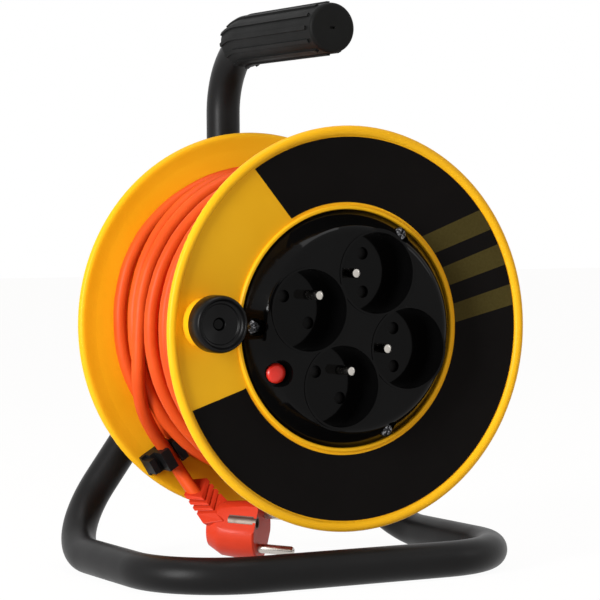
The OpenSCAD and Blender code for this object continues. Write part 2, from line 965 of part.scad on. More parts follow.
// Lead inside the barrel, from the rear cover to the grommet
module inner_lead() {
    start = cover_floor - 4;
    bend_y = grommet_y - lead_bend;
    end_r = barrel_d / 2 - 0.4;
    color("#e04a20")
    on_axle()
        rotate([0, -grommet_angle, 0]) {
            translate([gland_r, 0, 0])
                rod(cord_r, start, bend_y);
            translate([gland_r + lead_bend, bend_y, 0])
                rotate([0, 0, 90])
                    rotate_extrude(angle = 90)
                        translate([lead_bend, 0])
                            circle(r = cord_r);
            translate([gland_r + lead_bend, grommet_y, 0])
                rotate([0, 90, 0])
                    cylinder(r = cord_r, h = end_r - gland_r - lead_bend);
        }
}

module cord_gland() {
    color("#1a1a1c")
    on_axle()
        at(polar(gland_r, grommet_angle))
            tube(cord_r + 3, cord_r + snug, cover_back, cover_back + 6);
}

module cord_grommet() {
    color("#1a1a1c")
    on_axle()
        translate([0, grommet_y, 0])
            rotate([0, 90 - grommet_angle, 0])
                translate([0, 0, barrel_in_r - 1])
                    linear_extrude(barrel_wall + 0.6)
                        ring_2d(grommet_r, cord_r + snug);
}

// The layers of cord under the outer one, as a plain ring
module winding_core() {
    color("#e04a20")
    on_axle()
        tube(core_out_r, core_in_r, land_y + gap, rear_inner - gap);
}

wind_sides = 6;
wave = 0.9;                                      // how far the turns stray from an even pitch
start_rings = 5;
wind_first_y = land_y + cord_end + wind_start_bend;
wind_pitch = (wind_end_y - wind_first_y) / (cord_turns - 0.2);
wind_first_a = wind_end_a - 360 * (cord_turns - 0.2);
start_turn = wind_start_bend / wind_r * 180 / PI;

function on_drum(a, y, r) = [r * cos(a), y, r * sin(a)];

// The start stands on the flange's face, bends over, and the loops then run to the rear flange
function wind_y(t) =
    wind_first_y + wind_pitch * t + wave * sin(610 * t) * sin(180 * t / (cord_turns - 0.2));
wind_steps = round(loop_rings * (cord_turns - 0.2));
leave = [-sin(wind_end_a), 0, cos(wind_end_a)];
wind_last = on_drum(wind_end_a, wind_end_y, wind_r);
wind_tip = wind_last + cord_end * leave;
wind_path = concat(
    [on_drum(wind_first_a - start_turn, land_y, wind_r)],
    [for (i = [0 : start_rings - 1])
        let (b = 90 * i / start_rings)
        on_drum(wind_first_a - start_turn * cos(b),
                land_y + cord_end + wind_start_bend * sin(b), wind_r)],
    [for (i = [0 : wind_steps])
        let (t = i / loop_rings)
        on_drum(wind_first_a + 360 * t, wind_y(t), wind_r)],
    [wind_tip]);

function unit(v) = v / norm(v);
function path_dir(p, i) =
    i == 0 ? unit(p[1] - p[0])
    : i == len(p) - 1 ? unit(p[i] - p[i - 1])
    : unit(unit(p[i + 1] - p[i]) + unit(p[i] - p[i - 1]));

// A closed tube of the given number of sides along the points of a path
module swept(path, r, sides, out) {
    n = len(path);
    rings = [for (i = [0 : n - 1])
        let (d = path_dir(path, i),
             u0 = out(path[i]),
             u = unit(u0 - (u0 * d) * d),
             v = cross(d, u))
        for (k = [0 : sides - 1])
            path[i] + r * (cos(360 * k / sides) * u + sin(360 * k / sides) * v)];
    side_faces = [for (i = [0 : n - 2])
        for (k = [0 : sides - 1])
            for (half = [0, 1])
                let (a = i * sides + k,
                     b = i * sides + (k + 1) % sides)
                half == 0 ? [a, b, b + sides] : [a, b + sides, a + sides]];
    caps = concat(
        [for (k = [1 : sides - 2]) [0, k + 1, k]],
        [for (k = [1 : sides - 2]) [(n - 1) * sides, (n - 1) * sides + k, (n - 1) * sides + k + 1]]);
    polyhedron(points = rings, faces = concat(side_faces, caps));
}

module cord_winding() {
    color("#f0552a")
    on_axle()
        swept(wind_path, cord_r, wind_sides, function (p) [p[0], 0, p[2]]);
}

// Least gap of the winding to itself, measured between path points that lie a loop or more apart
wind_gaps = [for (i = [0 : len(wind_path) - 1])
    for (j = [i + 12 : len(wind_path) - 1])
        norm(wind_path[i] - wind_path[j]) - cord_d];
echo(winding_least_gap = min(wind_gaps));

// Free stretch from the winding, through the clip, to the plug's boot
boot_start = [-43, 94, -86];
lead_points = [
    wind_tip,
    [-64.5, 100, -49.8],
    [-59.2, 100, -58.8],
    [-54, 100, -67.2],
    [-48.6, 97.8, -76.4],
    boot_start
];

module cord_lead() {
    color("#f0552a")
    on_axle()
        swept(lead_points, cord_r, 8, function (p) [0, 1, 0]);
}

// Clip on the inside of the rear flange that holds the end of the cord
module cable_clip() {
    half = cord_r + gap;
    length = 11;
    wall = 3;
    front = rear_inner - 16.5;
    base = 3;
    color("#18181a")
    on_axle()
        difference() {
            at(polar(wind_r + cord_r + 2.4, 231))
                rotate([0, 59, 0])
                    translate([-length / 2, 0, 0]) {
                        translate([0, rear_inner - base, -half - wall - 6])
                            cube([length, base, 2 * half + 2 * wall + 6]);
                        for (z = [-half - wall, half])
                            translate([0, front + (z > 0 ? 2 : 0), z])
                                cube([length, rear_inner - front - (z > 0 ? 2 : 0), wall]);
                        translate([0, front, -half - 0.5])
                            cube([length, 3.5, 2.8]);
                        translate([0, front + 2, half - 1.4])
                            cube([length, 2.2, 2]);
                        translate([1.5, front + 5, -half - wall - 6])
                            cube([length - 3, rear_inner - front - 5, 3.2]);
                        translate([0, rear_inner - 8, -half - wall - 3])
                            cube([length, 8, 3.5]);
                    }
            tube(flange_d / 2 + 1, rim_r - bead_d / 2 - snug,
                 drum_depth - bead_d - snug, rear_inner + eps);
            tube(wind_r + cord_r + snug, wind_r, front - 1, front + 2.6);
        }
}

// ---- plug ----

plug_rear = [-36.6, 85.1, -104.1];               // centre of the plug's rear end
plug_turn = [-30, 3, -45];                       // roll, dip and heading of the plug's pins

// The plug's own frame: +X along the pins, +Z along the row of pins, -Y towards the earth hole
module at_plug() {
    on_axle()
        translate(plug_rear)
            rotate(plug_turn)
                translate([plug_len, 0, 0])
                    children();
}

// Ribbed strain relief between the cord and the plug's rear corner
boot_dir = [0.5, -0.36, -0.79];
boot_len = 21;

module plug_boot() {
    ribs = 6;
    step = (boot_len - 3) / ribs;
    heading = atan2(boot_dir[1], boot_dir[0]);
    dip = acos(boot_dir[2] / norm(boot_dir));
    color("#e23a22")
    difference() {
        on_axle()
            translate(boot_start)
                rotate([0, dip, heading])
                    rotate([0, 0, 20])
                        union() {
                            cylinder(r1 = cord_r + 1.8, r2 = 8.4, h = boot_len);
                            for (i = [0 : ribs]) {
                                w = i == 0 ? 13 : 11.5 + 1.1 * i;
                                d = i == 0 ? 12 : 10.5 + 0.9 * i;
                                translate([-d / 2, -w / 2, i * step])
                                    cube([d, w, i == 0 ? 3.2 : 2]);
                            }
                        }
        at_plug()
            plug_solid();
    }
}

// Round body with two flats and a chamfered rear end
module plug_solid() {
    r = plug_d / 2;
    intersection() {
        rotate([0, 90, 0])
            rotate_extrude()
                polygon([[0, -plug_len], [r - 5, -plug_len], [r - 1, -plug_len + 7],
                         [r, -8], [r, -0.8], [r - 0.8, 0], [0, 0]]);
        translate([-plug_len - eps, -plug_flats / 2, -r - eps])
            cube([plug_len + 2 * eps, plug_flats, 2 * r + 2 * eps]);
    }
}

strip = [13.2, 1.4, 4.4];
strip_back = 1.5;
earth_sleeve_r = pin_d / 2 + 0.8;
earth_sleeve_len = 15;

module plug_body() {
    color("#e23a22")
    at_plug()
        difference() {
            plug_solid();
            for (side = [-1, 1])
                translate([0, 0, side * contact_pitch / 2])
                    rotate([0, -90, 0])
                        cylinder(r = root_r + snug, h = 10);
            translate([0.01, -earth_offset, 0])
                rotate([0, -90, 0])
                    cylinder(r = earth_sleeve_r + snug, h = earth_sleeve_len + 0.01);
            for (side = [-1, 1])
                translate([-strip_back - strip[0] / 2, side * plug_flats / 2, 0])
                    cube([strip[0], 2 * strip[1], strip[2] + 2 * snug], center = true);
        }
}

module plug_pins() {
    r = pin_d / 2;
    color("silver")
    at_plug()
        for (side = [-1, 1])
            translate([0, 0, side * contact_pitch / 2])
                rotate([0, 90, 0])
                    rotate_extrude()
                        polygon([[0, -9.9], [root_r, -9.9], [root_r, root_gap], [r, root_gap],
                                 [r, plug_pin_len - 1.4], [r - 0.5, plug_pin_len - 0.5],
                                 [r - 1.4, plug_pin_len], [0, plug_pin_len]]);
}

// Side contacts of the plug; the one at the earth hole carries the female sleeve
module plug_earth_contacts() {
    color("silver")
    at_plug()
        difference() {
            union() {
                for (side = [-1, 1])
                    translate([-strip_back - strip[0] / 2, side * (plug_flats - strip[1] - 0.1) / 2, 0])
                        cube([strip[0], strip[1] - 0.1, strip[2]], center = true);
                translate([0, -earth_offset, 0])
                    rotate([0, -90, 0])
                        cylinder(r = earth_sleeve_r, h = earth_sleeve_len);
            }
            translate([0.5, -earth_offset, 0])
                rotate([0, -90, 0])
                    cylinder(r = pin_d / 2 + snug, h = earth_sleeve_len - 1);
        }
}

upright_tube();
base_tube();
handle_grip();
axle_carrier();
carrier_clamp();
carrier_screws();
axle_bolt();
axle_washer();
axle_nut();
front_flange();
front_label();
drum_barrel();
rear_flange();
flange_screws();
socket_panel();
panel_screws();
earth_pins();
earth_strap();
live_busbar();
neutral_busbar();
shutter(0);  // shutter_a
shutter(1);  // shutter_b
shutter(2);  // shutter_c
shutter(3);  // shutter_d
socket_rear_cover();
cover_screw();
cutout_body();
cutout_terminals();
reset_button();
crank_pin();
crank_knob();
cord_gland();
inner_lead();
cord_grommet();
winding_core();
cord_winding();
cord_lead();
cable_clip();
plug_boot();
plug_body();
plug_pins();
plug_earth_contacts();
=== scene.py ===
"""Extension cord reel: a yellow two-flange drum with four mains sockets, on a black stand of bent steel tube.

Metres. Z is up from the floor. The drum turns about a line along Y and its sockets face -Y.
"""

import json
import math

import bmesh
import bpy
from mathutils import Matrix, Vector

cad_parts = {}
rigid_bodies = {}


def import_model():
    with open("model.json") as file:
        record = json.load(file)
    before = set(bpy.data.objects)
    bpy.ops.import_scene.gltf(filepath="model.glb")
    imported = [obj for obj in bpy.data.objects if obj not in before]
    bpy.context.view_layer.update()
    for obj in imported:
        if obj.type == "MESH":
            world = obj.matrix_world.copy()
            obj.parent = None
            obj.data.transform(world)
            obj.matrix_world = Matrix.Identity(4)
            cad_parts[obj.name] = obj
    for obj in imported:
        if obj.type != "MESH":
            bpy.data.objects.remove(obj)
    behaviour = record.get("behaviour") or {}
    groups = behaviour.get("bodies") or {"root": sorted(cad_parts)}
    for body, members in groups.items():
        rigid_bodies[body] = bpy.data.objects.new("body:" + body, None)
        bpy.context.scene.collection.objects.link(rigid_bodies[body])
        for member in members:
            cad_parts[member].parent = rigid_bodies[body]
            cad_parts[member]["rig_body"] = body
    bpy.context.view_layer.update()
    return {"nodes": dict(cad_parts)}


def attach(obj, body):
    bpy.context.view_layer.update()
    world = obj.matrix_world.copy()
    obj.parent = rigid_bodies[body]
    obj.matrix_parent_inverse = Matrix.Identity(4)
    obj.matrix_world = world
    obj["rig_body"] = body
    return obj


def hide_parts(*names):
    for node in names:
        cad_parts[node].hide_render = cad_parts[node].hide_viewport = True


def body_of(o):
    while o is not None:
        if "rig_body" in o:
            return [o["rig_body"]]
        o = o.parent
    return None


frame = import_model()
nodes = frame["nodes"]

# ---- camera ----
# A long lens a little above the axle, 1.2 m away and 28 degrees to the left of the drum's face.
# Its place is in metres and its angles are in radians.

camera_place = Vector((-0.5988, -1.1359, 0.1811))
camera_yaw, camera_pitch, camera_roll = 0.490027, -0.033188, -0.006198
camera_sensor = 36                                # millimetres, as is the focal length
camera_focal_length = 149.53


def put(name, data):
    """A new object in the scene."""
    made = bpy.data.objects.new(name, data)
    bpy.context.collection.objects.link(made)
    return made


forward = Vector((
    math.sin(camera_yaw) * math.cos(camera_pitch),
    math.cos(camera_yaw) * math.cos(camera_pitch),
    math.sin(camera_pitch),
))
level = forward.cross(Vector((0, 0, 1))).normalized()
rise = level.cross(forward)
right = level * math.cos(camera_roll) + rise * math.sin(camera_roll)
up = rise * math.cos(camera_roll) - level * math.sin(camera_roll)
lens = bpy.data.cameras.new("camera")
lens.sensor_width = camera_sensor
lens.lens = camera_focal_length
lens.clip_end = 20
camera = put("camera", lens)
camera.matrix_world = Matrix.Translation(camera_place) @ Matrix((right, up, -forward)).transposed().to_4x4()
bpy.context.scene.camera = camera

# ---- cord ----
# Ten metres of orange sheathed mains cord in two layers on the barrel, the inner one tight and the outer one
# loose. The last turn crosses over the two before it and runs down on the left through the clip to the plug.
# Its angles are in degrees and run on from turn to turn.

axle = Vector((0, -0.0694, 0.126))                # the drum's origin, in the plane of the front flange's rim
cord_d = 0.007
exit_angle, exit_depth, exit_radius = 30, 0.098, 0.067
turn_end = 7740
point_step = 15                                   # degrees from one point of the curve to the next
# angle and depth, then angle and radius, in millimetres
depth_stops = [
    (30, 98), (390, 90.8), (3990, 20.2), (4350, 13.6),                     # inner layer, towards the front
    (4420, 13.6), (4500, 15.5), (4860, 23), (5220, 30.4), (5580, 37.8),    # outer layer, towards the back
    (5940, 45.2), (6300, 52.6), (6480, 58), (6660, 70), (6720, 71.5),
    (6930, 94), (6975, 91.5), (7020, 88), (7080, 88.6),
    (7290, 102.6), (7380, 103.4), (7470, 103.2),                           # against the rear flange
    (7525, 97), (7560, 91), (7600, 86), (7650, 82.8), (turn_end, 80.5),    # back over the two turns before
]
radius_stops = [
    (30, 66.8), (62, 70.5), (4350, 70.5),
    (4420, 77.5), (6700, 77.5), (6930, 79), (7020, 78.3), (7080, 77.8),
    (7290, 79), (7320, 79.2), (7350, 80.5), (7380, 79.2), (7395, 78.6), (7420, 76.5), (7460, 76.5),
    (7490, 80), (7525, 85.5), (7600, 85.8), (7625, 82.5), (7660, 79.2), (turn_end, 79),
]
# angle, depth and radius of the last stretch, in millimetres
lead = [
    (188, 80.8, 80.2), (196, 81.9, 82.4), (203, 84.5, 84.2), (210, 88.3, 85.1), (217, 93, 84.9),
    (224, 97.4, 84.9), (231.1, 99.8, 86), (238.4, 98.3, 91), (243.4, 94, 96.2), (245.3, 92.5, 98),
]


def on_drum(angle, depth, radius):
    """A place round the drum, in metres."""
    a = math.radians(angle)
    return axle + Vector((radius * math.cos(a), depth, radius * math.sin(a)))


def eased(stops, at):
    """The value at a place along a list of (place, value) stops, with a smooth rate of change."""
    i = max(k for k in range(len(stops) - 1) if stops[k][0] <= at or k == 0)
    (x0, y0), (x1, y1) = stops[i], stops[i + 1]

    def rate(k):
        if k in (0, len(stops) - 1):
            return 0.0
        a, b = stops[k - 1], stops[k + 1]
        return (b[1] - a[1]) / (b[0] - a[0])

    run = x1 - x0
    t = min(1, max(0, (at - x0) / run))
    return (
        (2 * t**3 - 3 * t**2 + 1) * y0
        + (t**3 - 2 * t**2 + t) * run * rate(i)
        + (3 * t**2 - 2 * t**3) * y1
        + (t**3 - t**2) * run * rate(i + 1)
    )


cord_points = []
for angle in [*range(exit_angle, turn_end, point_step), turn_end]:
    cord_points.append(on_drum(angle, eased(depth_stops, angle) / 1000, eased(radius_stops, angle) / 1000))
for angle, depth, radius in lead:
    cord_points.append(on_drum(angle, depth / 1000, radius / 1000))

cord_curve = bpy.data.curves.new("cord", "CURVE")
cord_curve.dimensions = "3D"
cord_curve.bevel_depth = cord_d / 2
cord_curve.bevel_resolution = 4
cord_curve.resolution_u = 3
cord_curve.use_fill_caps = True
route = cord_curve.splines.new("BEZIER")
route.bezier_points.add(len(cord_points) - 1)
for point, place in zip(route.bezier_points, cord_points):
    point.co = place
    point.handle_left_type = point.handle_right_type = "AUTO"
cord = put("cord", cord_curve)


class Shade:
    """A value in the node tree of one finish. Arithmetic on it adds Math nodes, and node() adds any other."""

    def __init__(self, tree, socket=None):
        self.tree = tree
        self.socket = socket

    def node(self, kind, settings=None, inputs=None, out=0):
        """A new node with these settings, and these values or links in its sockets."""
        made = self.tree.nodes.new("ShaderNode" + kind)
        for name, value in (settings or {}).items():
            setattr(made, name, value)
        for key, value in (inputs or {}).items():
            into = made.inputs[key]
            if isinstance(value, Shade):
                self.tree.links.new(value.socket, into)
            elif into.type == "RGBA":
                into.default_value = (*value, 1)
            else:
                into.default_value = value
        return Shade(self.tree, made.outputs[out] if made.outputs else None)

    def maths(self, operation, *values):
        return self.node("Math", {"operation": operation}, dict(enumerate(values)))

    def __add__(self, other):
        return self.maths("ADD", self, other)

    __radd__ = __add__

    def __mul__(self, other):
        return self.maths("MULTIPLY", self, other)

    __rmul__ = __mul__

    def clear(self, low, high):
        """0 below low, 1 above high."""
        return self.node("MapRange", {"clamp": True}, {"Value": self, "From Min": low, "From Max": high})

    def blend(self, at_0, at_1):
        """A colour between two others."""
        return self.node("Mix", {"data_type": "RGBA"}, {0: self, 6: at_0, 7: at_1}, out=2)

    def noise(self, scale, detail):
        """Noise in the object's own place, with this many waves in a metre."""
        where = self.node("TexCoord", out="Object")
        return self.node("TexNoise", inputs={"Vector": where, "Scale": scale, "Detail": detail})

    def bump(self, height, distance, strength):
        """A normal raised by a height from 0 to 1, this many metres apart."""
        return self.node("Bump", inputs={"Height": height, "Distance": distance, "Strength": strength})


def finish(name, paint, **sockets):
    """A new finish of one Principled shader. paint(tree) gives what changes over the surface."""
    made = bpy.data.materials.new(name)
    made.use_nodes = True
    shader = next(n for n in made.node_tree.nodes if n.type == "BSDF_PRINCIPLED")
    for key, value in {**paint(Shade(made.node_tree)), **sockets}.items():
        into = shader.inputs[key.replace("_", " ")]
        if isinstance(value, Shade):
            made.node_tree.links.new(value.socket, into)
        else:
            into.default_value = value
    return made


def sheath_paint(tree):
    """Extruded sheath: slightly uneven colour, a faint matt skin and fine drawing marks."""
    broad = tree.noise(35, 3).clear(0.35, 0.7)
    return {
        "Base Color": broad.blend((0.66, 0.072, 0.010), (0.75, 0.096, 0.015)),
        "Roughness": 0.34 + 0.16 * tree.noise(260, 3),
        "Normal": tree.bump(tree.noise(1400, 2), 0.00012, 0.25),
    }


cord_sheath = finish("cord_sheath", sheath_paint, Specular_IOR_Level=0.14)
cord.data.materials.append(cord_sheath)
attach(cord, "drum")
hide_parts("winding_core", "cord_winding", "cord_lead")

# ---- plug and its boot ----
# Angled plug of red-orange rubber moulded on the cord's end: a ribbed boot that lets the cord bend, a round
# body with two flats, two nickel-plated pins, and earth contacts in the flats and in its earth hole.


def dressed(node, material, edge=0.0, join_flats=True):
    """A copy of a CAD node with its doubles merged, its curves smooth and its edges rounded by this much."""
    crease = math.radians(30)
    mesh = bpy.data.meshes.new(node + "_piece")
    bm = bmesh.new()
    bm.from_mesh(nodes[node].data)
    bmesh.ops.remove_doubles(bm, verts=bm.verts, dist=2e-6)
    if join_flats:
        bmesh.ops.dissolve_limit(bm, angle_limit=math.radians(0.3), verts=bm.verts, edges=bm.edges)
    for e in bm.edges:
        e.smooth = len(e.link_faces) == 2 and e.calc_face_angle(0) < crease
    for f in bm.faces:
        f.smooth = True
    bm.to_mesh(mesh)
    bm.free()
    mesh.materials.clear()
    mesh.materials.append(material)
    piece = put(node + "_piece", mesh)
    if edge:
        bevel = piece.modifiers.new("edges", "BEVEL")
        bevel.width = edge
        bevel.segments = 2
        bevel.limit_method = "ANGLE"
        bevel.angle_limit = crease
        bevel.harden_normals = True
    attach(piece, body_of(nodes[node])[0])
    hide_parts(node)
    return piece


def rubber_paint(tree):
    """Moulded rubber with a fine grain and a slightly uneven bloom."""
    return {
        "Base Color": tree.noise(60, 3).blend((0.60, 0.040, 0.013), (0.70, 0.054, 0.018)),
        "Roughness": 0.34 + 0.16 * tree.noise(90, 3),
        "Normal": tree.bump(tree.noise(1500, 2), 0.00015, 0.25),
    }


def nickel_paint(tree):
    """Nickel plate: warm grey, with faint handling marks."""
    return {
        "Base Color": tree.noise(150, 3).blend((0.46, 0.43, 0.39), (0.58, 0.55, 0.51)),
        "Roughness": 0.18 + 0.16 * tree.noise(400, 3),
    }


def dull_nickel_paint(tree):
    """Nickel plate in a darker, browner and duller tone than the pins."""
    return {
        "Base Color": tree.noise(220, 3).blend((0.13, 0.105, 0.085), (0.23, 0.19, 0.165)),
        "Roughness": 0.44 + 0.20 * tree.noise(400, 3),
    }


plug_rubber = finish("plug_rubber", rubber_paint, Specular_IOR_Level=0.25)
nickel_plate = finish("nickel_plate", nickel_paint, Metallic=1.0)
dull_nickel = finish("dull_nickel", dull_nickel_paint, Metallic=1.0)

# the boot's four corners at its collar, at the plug and inside it, in millimetres from the drum's origin
boot_from = [(-40, 104, -81), (-32.2, 100, -80.4), (-42.7, 85, -88.4), (-48.6, 94, -87.8)]
boot_to = [(-38, 87, -92), (-30, 79.5, -90.8), (-38.4, 69, -99.2), (-46.4, 76, -100.9)]
boot_root = [(-36, 84, -96), (-27, 77, -95), (-32, 71, -104), (-40, 78, -104)]
# places along it and its width there, as shares: a collar, two ribs and the block on the plug
boot_steps = [
    (0, 1), (0.15, 1), (0.15, 0.7), (0.25, 0.7), (0.25, 1), (0.36, 1), (0.36, 0.72), (0.46, 0.72),
    (0.46, 1), (0.57, 1), (0.57, 0.74), (0.67, 0.74), (0.67, 1), (1, 1),
]
boot_rings = []
for along, width in boot_steps:
    corners = [Vector(a).lerp(Vector(b), along) for a, b in zip(boot_from, boot_to)]
    middle = sum(corners, Vector()) / 4
    boot_rings.append([middle.lerp(corner, width) for corner in corners])
boot_rings.append([Vector(corner) for corner in boot_root])

bm = bmesh.new()
collar = [bm.verts.new(axle + corner / 1000) for corner in boot_rings[0]]
end = bm.faces.new(collar)
for ring in boot_rings[1:]:
    end = bmesh.ops.extrude_discrete_faces(bm, faces=[end])["faces"][0]
    for vertex, corner in zip(end.verts, ring):
        vertex.co = axle + corner / 1000
bm.faces.new(collar)
bmesh.ops.recalc_face_normals(bm, faces=bm.faces)
boot_mesh = bpy.data.meshes.new("boot")
bm.to_mesh(boot_mesh)
bm.free()
boot_mesh.materials.append(plug_rubber)
boot = put("boot", boot_mesh)
soft_edges = boot.modifiers.new("edges", "BEVEL")
soft_edges.width = 0.0003
soft_edges.segments = 2
soft_edges.limit_method = "ANGLE"
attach(boot, "drum")
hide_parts("plug_boot")

plug_pieces = [
    boot,
    dressed("plug_body", plug_rubber, edge=0.0005),
    dressed("plug_pins", nickel_plate),
    dressed("plug_earth_contacts", dull_nickel),
]
tuple(on_drum(exit_angle, exit_depth, exit_radius))

# ---- stand ----
# Two lengths of steel tube, bent and powder-coated satin black. The base lies on the floor and rises at the
# back to the axle carrier. The upright rises from the carrier and turns forward over the drum as the handle.


def powder_paint(tree):
    """Powder coat: a fine orange peel with a few duller patches."""
    return {
        "Base Color": tree.noise(60, 3).blend((0.0050, 0.0050, 0.0053), (0.0080, 0.0080, 0.0084)),
        "Roughness": 0.32 + 0.14 * tree.noise(90, 4),
        "Normal": tree.bump(tree.noise(900, 2), 0.0002, 0.2),
    }


powder_coat = finish("powder_coat", powder_paint, Specular_IOR_Level=0.13)
dressed("base_tube", powder_coat)
dressed("upright_tube", powder_coat)

# ---- handle grip ----
# Fluted sleeve of soft black rubber with a closed end.
# It is pushed over the upright's front end and stays there by its own grip.


def grip_paint(tree):
    """Matt black moulded rubber, rubbed a little smoother in patches."""
    return {
        "Base Color": tree.noise(45, 3).blend((0.0050, 0.0053, 0.0053), (0.0085, 0.0088, 0.0088)),
        "Roughness": 0.40 + 0.20 * tree.noise(70, 3),
        "Normal": tree.bump(tree.noise(2200, 2), 0.00015, 0.35),
    }


grip_rubber = finish("grip_rubber", grip_paint, Specular_IOR_Level=0.07)
dressed("handle_grip", grip_rubber, edge=0.0003)

# ---- axle carrier ----
# Black moulded block that the tubes pass through, with the journal that the drum turns on. A clamp half is
# screwed to it round the tubes, and a zinc-plated bolt, washer and nut run through the journal.


def moulding_paint(tree):
    """Black moulded plastic with a fine spark-eroded grain."""
    return {
        "Base Color": tree.noise(50, 3).blend((0.0050, 0.0050, 0.0053), (0.0085, 0.0085, 0.0090)),
        "Roughness": 0.38 + 0.16 * tree.noise(80, 3),
        "Normal": tree.bump(tree.noise(1800, 2), 0.00015, 0.3),
    }


def zinc_paint(tree):
    """Bright zinc plate with faint turning marks."""
    return {
        "Base Color": tree.noise(120, 3).blend((0.50, 0.51, 0.53), (0.68, 0.69, 0.71)),
        "Roughness": 0.24 + 0.18 * tree.noise(300, 3),
    }


def coated(material, *names):
    """CAD nodes whose shape stays as it is."""
    for name in names:
        for slot in nodes[name].material_slots:
            slot.material = material


black_moulding = finish("black_moulding", moulding_paint, Specular_IOR_Level=0.12)
zinc_plate = finish("zinc_plate", zinc_paint, Metallic=1.0)
dressed("axle_carrier", black_moulding, edge=0.0008)
dressed("carrier_clamp", black_moulding, edge=0.0008)
coated(zinc_plate, "carrier_screws", "axle_bolt", "axle_washer", "axle_nut")

# ---- drum ----
# Two flanges and a barrel, moulded in bright yellow plastic and screwed together from the back. The flanges
# end in a rolled rim, and the front one is dished. The rear rim runs into its plate with a soft fillet.


def yellow_paint(tree):
    """Glossy yellow moulded plastic with a hint of uneven flow."""
    return {
        "Base Color": tree.noise(22, 3).clear(0.3, 0.7).blend((0.86, 0.455, 0.009), (0.91, 0.500, 0.014)),
        "Roughness": 0.30 + 0.16 * tree.noise(60, 4),
        "Normal": tree.bump(tree.noise(700, 2), 0.0002, 0.12),
    }


def turned(name, profile, centre):
    """A mesh turned about a line along Y. The profile's points are a radius and a depth in millimetres."""
    turn = {"cent": centre, "axis": (0, 1, 0), "angle": math.tau, "steps": 128, "use_merge": True}
    crease = math.radians(50)
    bm = bmesh.new()
    line = [bm.verts.new(centre + Vector((radius, depth, 0)) / 1000) for radius, depth in profile]
    edges = [bm.edges.new(ends) for ends in zip(line, line[1:])]
    bmesh.ops.spin(bm, geom=line + edges, **turn)
    bmesh.ops.remove_doubles(bm, verts=bm.verts, dist=1e-7)
    bmesh.ops.recalc_face_normals(bm, faces=bm.faces)
    for f in bm.faces:
        f.smooth = True
    for e in bm.edges:
        e.smooth = e.calc_face_angle(0) < crease
    mesh = bpy.data.meshes.new(name)
    bm.to_mesh(mesh)
    bm.free()
    return mesh


yellow_moulding = finish("yellow_moulding", yellow_paint, Specular_IOR_Level=0.12)
dressed("front_flange", yellow_moulding, edge=0.0003)
rear_flange = dressed("rear_flange", yellow_moulding, join_flats=False)
fillet_profile = [
    (98.2, 107.1), (97.5, 107), (96.5, 107.07), (95.5, 107.18), (94, 107.34), (92, 107.47), (90.5, 107.52),
]
bm = bmesh.new()
bm.from_mesh(rear_flange.data)
bm.from_mesh(turned("rear_fillet", fillet_profile, axle))
bm.to_mesh(rear_flange.data)
bm.free()
dressed("drum_barrel", yellow_moulding)
coated(zinc_plate, "flange_screws")

# ---- front label ----
# Self-adhesive film printed black, stuck round three quarters of the front flange.
# Three bars in olive ink cross it on the right.


def ink_paint(tree):
    """Black ink on a matt film."""
    return {
        "Base Color": tree.noise(50, 3).blend((0.0036, 0.0032, 0.0032), (0.0056, 0.0050, 0.0050)),
        "Roughness": 0.46 + 0.14 * tree.noise(120, 3),
    }


def olive_paint(tree):
    """Olive ink, grained like a coarse screen print."""
    return {
        "Base Color": tree.noise(900, 3).blend((0.044, 0.035, 0.009), (0.068, 0.056, 0.018)),
        "Roughness": 0.46 + 0.14 * tree.noise(120, 3),
    }


label_ink = finish("label_ink", ink_paint, Specular_IOR_Level=0.03)
olive_ink = finish("olive_ink", olive_paint, Specular_IOR_Level=0.03)
label = dressed("front_label", label_ink)
label.data.materials.append(olive_ink)
bars_start = 0.03                                 # the bars' lines are inked only to the right of this X
# each bar's upper and lower edge, as two points in the drum's own X and Z, in millimetres
olive_bars = [
    (((40.4, 43.9), (74.6, 58.3)), ((47.6, 35.5), (81.0, 48.4))),
    (((51.4, 28.0), (85.3, 40.9)), ((55.3, 19.1), (90.4, 30.8))),
    (((58.2, 10.0), (93.9, 21.0)), ((59.1, 0.7), (96.3, 10.7))),
]


def bar_edge(edge):
    """A point on an edge of a bar, and the direction upwards across it."""
    (x0, z0), (x1, z1) = edge
    return axle + Vector((x0, 0, z0)) / 1000, Vector((z0 - z1, 0, x1 - x0)).normalized()


def above(edge, place):
    """How far a place lies above an edge of a bar."""
    start, across = bar_edge(edge)
    return (place - start).dot(across)


def on_a_bar(place):
    """Whether a place on the label lies on a bar."""
    inked = any(above(top, place) < 0 < above(bottom, place) for top, bottom in olive_bars)
    return inked and place.x > bars_start


bm = bmesh.new()
bm.from_mesh(label.data)
for bar in olive_bars:
    for edge in bar:
        start, across = bar_edge(edge)
        everything = bm.verts[:] + bm.edges[:] + bm.faces[:]
        bmesh.ops.bisect_plane(bm, geom=everything, dist=1e-7, plane_co=start, plane_no=across)
for f in bm.faces:
    if on_a_bar(f.calc_center_median()):
        f.material_index = 1
bm.to_mesh(label.data)
bm.free()

# ---- socket panel ----
# Domed disc of polished black plastic with four round socket recesses and a well for the reset button.
# Three screws with blackened heads hold it on the front flange.


def gloss_paint(tree):
    """Polished black plastic with a faint haze of handling."""
    return {
        "Base Color": tree.noise(40, 3).blend((0.0012, 0.0012, 0.0013), (0.0022, 0.0022, 0.0023)),
        "Roughness": 0.05 + 0.07 * tree.noise(35, 4),
        "Normal": tree.bump(tree.noise(500, 2), 0.0001, 0.06),
    }


def blackened_paint(tree):
    """Black zinc plate, brighter in small scattered patches."""
    bright_patches = tree.noise(900, 3).clear(0.52, 0.62)
    return {
        "Base Color": bright_patches.blend((0.030, 0.030, 0.032), (0.24, 0.24, 0.25)),
        "Roughness": 0.22 + 0.14 * tree.noise(400, 3),
    }


